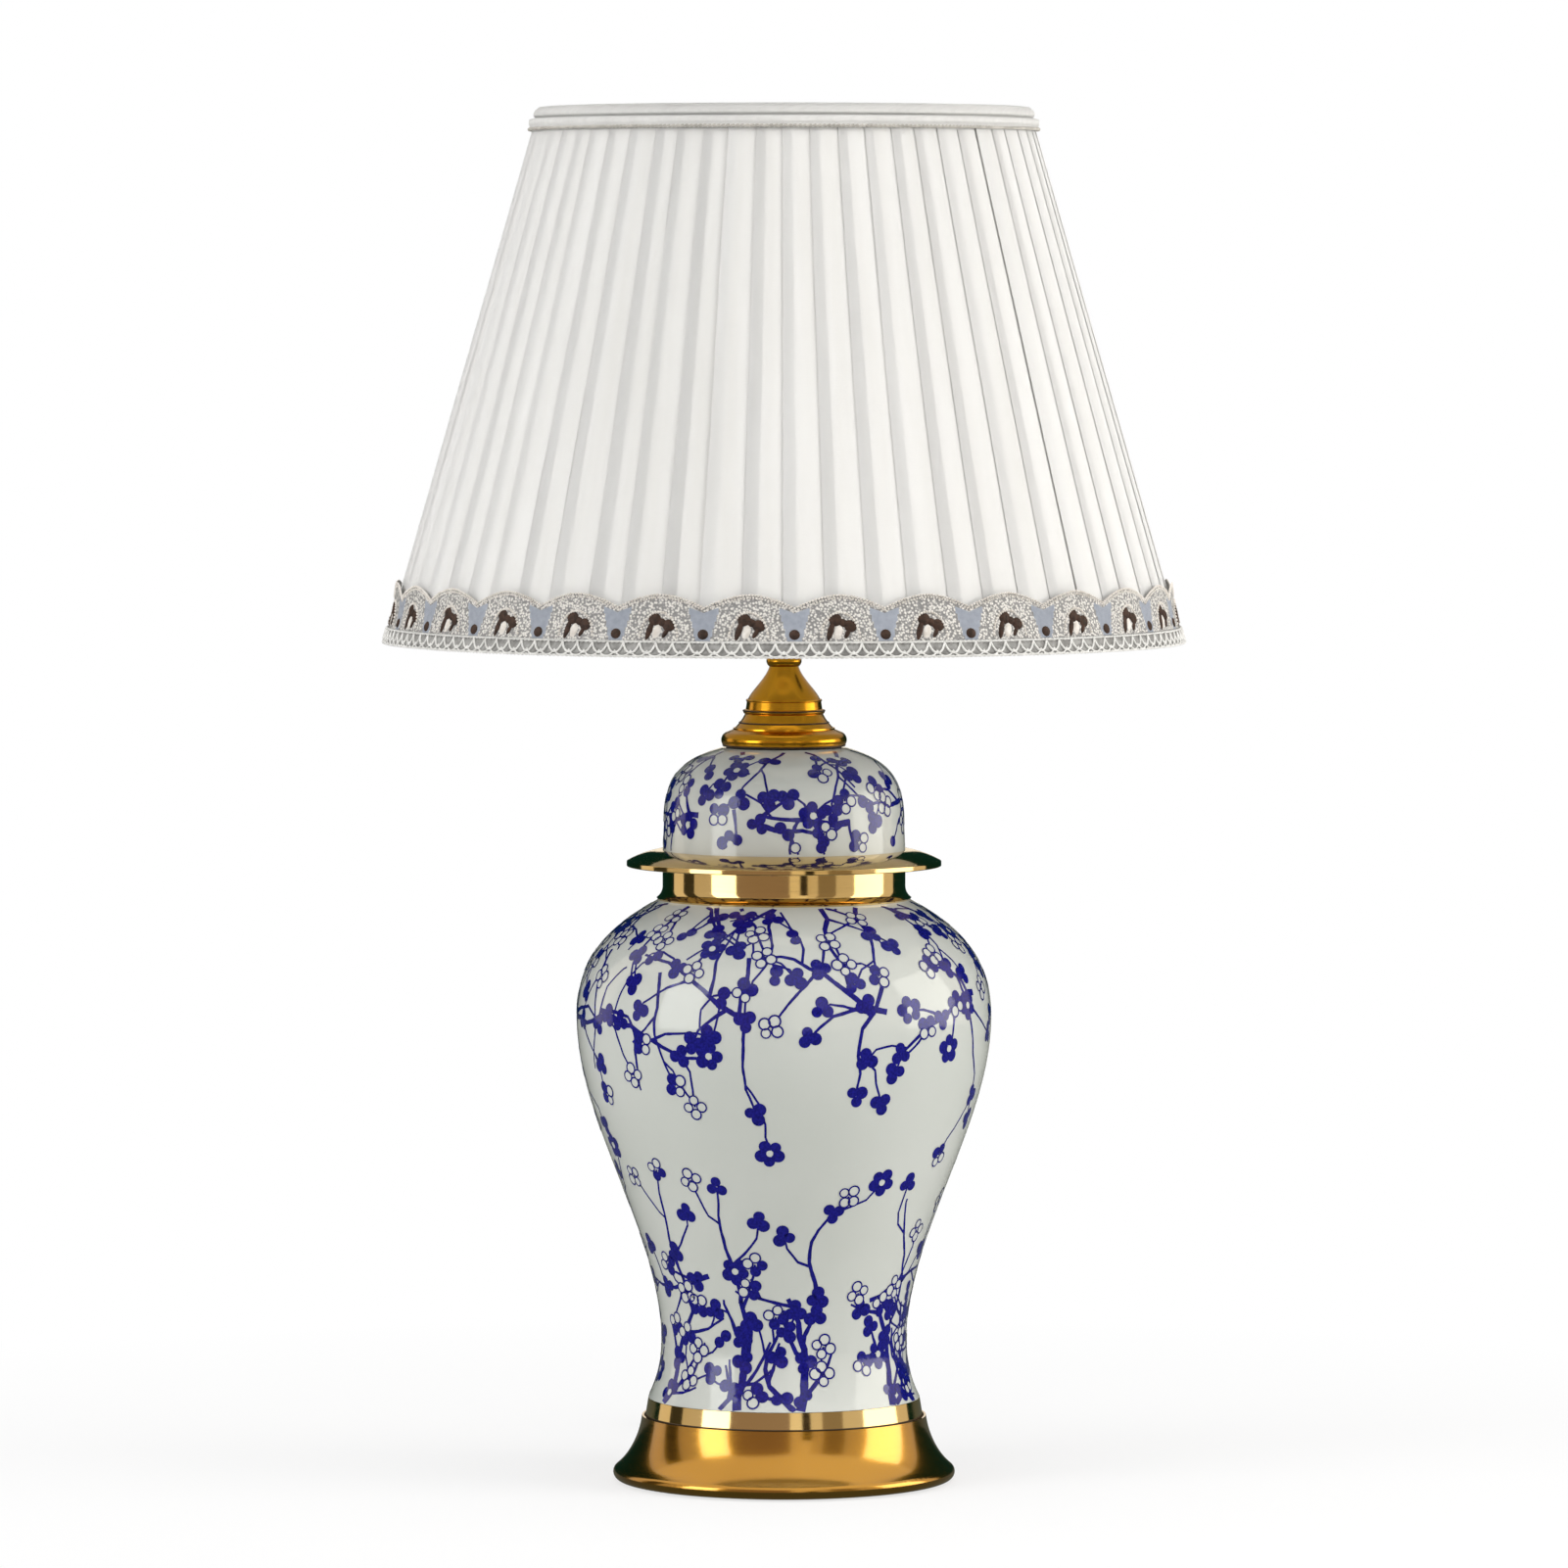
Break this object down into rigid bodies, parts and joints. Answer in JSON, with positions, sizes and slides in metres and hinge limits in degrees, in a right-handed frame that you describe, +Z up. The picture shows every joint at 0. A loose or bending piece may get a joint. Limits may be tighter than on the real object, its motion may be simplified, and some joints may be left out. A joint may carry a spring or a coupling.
{
  "type": "ceramic table lamp",
  "caption": "Glazed jar table lamp with painted blossom, gilt collar, brass foot and cap, and a pleated empire shade with lace hem over a screw socket.",
  "frame": {"origin": "centre of the felt pad's underside, on the table", "axes": "+Z up along the jar's axis, -Y to the front, +X to the right seen from the front; the cord leaves towards +Y"},
  "size_m": [0.389, 0.506, 0.6655],
  "materials": {
    "felt": "matt wool felt",
    "fibreboard": "raw brown fibreboard",
    "antique_brass": "brushed and lacquered antique brass",
    "gilt_brass": "polished gold plate",
    "glazed_jar": "white glaze with painted cobalt blossom",
    "gasket_rubber": "matt black rubber",
    "zinc_steel": "zinc plated",
    "socket_brass": "satin lacquered",
    "socket_phenolic": "black moulded phenolic",
    "liner_paper": "brown vulcanised paper",
    "contact_brass": "bare stamped brass",
    "bulb_plastic": "white moulded plastic",
    "bulb_opal": "opal diffuser",
    "bulb_aluminium": "rolled aluminium screw cap and board",
    "frame_wire": "white coated steel wire",
    "pleated_cloth": "white pleated chiffon over cloth",
    "lining_cloth": "white cotton lining",
    "tape_cloth": "white folded tape",
    "lace_cloth": "embroidered lace in grey-blue and brown",
    "gimp_cloth": "ivory braid",
    "cord_pvc": "black flexible sheath",
    "plug_pvc": "black moulded plug",
    "blade_nickel": "nickel plated brass"
  },
  "bodies": {
    "lamp": {"felt_pad": "felt", "bottom_cover": "fibreboard", "base_foot": "antique_brass", "cord_grommet": "cord_pvc", "foot_gasket": "gasket_rubber", "plate_washer": "zinc_steel", "spring_washer": "zinc_steel", "rod_nut": "zinc_steel", "threaded_rod": "zinc_steel", "foot_band": "gilt_brass", "jar": "glazed_jar", "neck_collar": "gilt_brass", "lid_saucer": "gilt_brass", "lid": "glazed_jar", "lid_gasket": "gasket_rubber", "vase_cap": "antique_brass", "socket_cap": "socket_brass", "socket_shell": "socket_brass", "socket_liner": "liner_paper", "socket_interior": "socket_phenolic", "terminal_screws": "contact_brass", "screw_shell": "contact_brass", "centre_contact": "contact_brass", "threaded_collar": "socket_brass", "inner_cord": "cord_pvc", "core_wires": "cord_pvc", "cord_lead": "cord_pvc", "cord_coil": "cord_pvc", "cord_tail": "cord_pvc", "cord_tie": "cord_pvc", "plug_body": "plug_pvc", "plug_blades": "blade_nickel"},
    "knob": {"switch_spindle": "contact_brass", "switch_knob": "socket_phenolic"},
    "bulb": {"bulb_contact": "contact_brass", "bulb_insulator": "socket_phenolic", "bulb_cap": "bulb_aluminium", "bulb_housing": "bulb_plastic", "led_board": "bulb_aluminium", "bulb_diffuser": "bulb_opal"},
    "shade_ring": {"shade_ring_nut": "socket_brass"},
    "shade": {"shade_fitter": "frame_wire", "fitter_arms": "frame_wire", "shade_bottom_ring": "frame_wire", "shade_top_ring": "frame_wire", "shade_ribs": "frame_wire", "pleated_cover": "pleated_cloth", "shade_lining": "lining_cloth", "top_trim": "tape_cloth", "lace_band": "lace_cloth", "gimp_braid": "gimp_cloth"}
  },
  "joints": [
    {"name": "knob_turn", "type": "hinge", "parent": "lamp", "child": "knob", "pos_m": [0.02, 0, 0.4232], "axis": [1, 0, 0], "continuous": true},
    {"name": "bulb_turn", "type": "hinge", "parent": "lamp", "child": "bulb", "pos_m": [0, 0, 0.45], "axis": [0, 0, 1], "range_deg": [0, 900]},
    {"name": "ring_turn", "type": "hinge", "parent": "lamp", "child": "shade_ring", "pos_m": [0, 0, 0.43], "axis": [0, 0, 1], "range_deg": [0, 1080]},
    {"name": "shade_turn", "type": "hinge", "parent": "lamp", "child": "shade", "pos_m": [0, 0, 0.43], "axis": [0, 0, 1], "continuous": true}
  ]
}
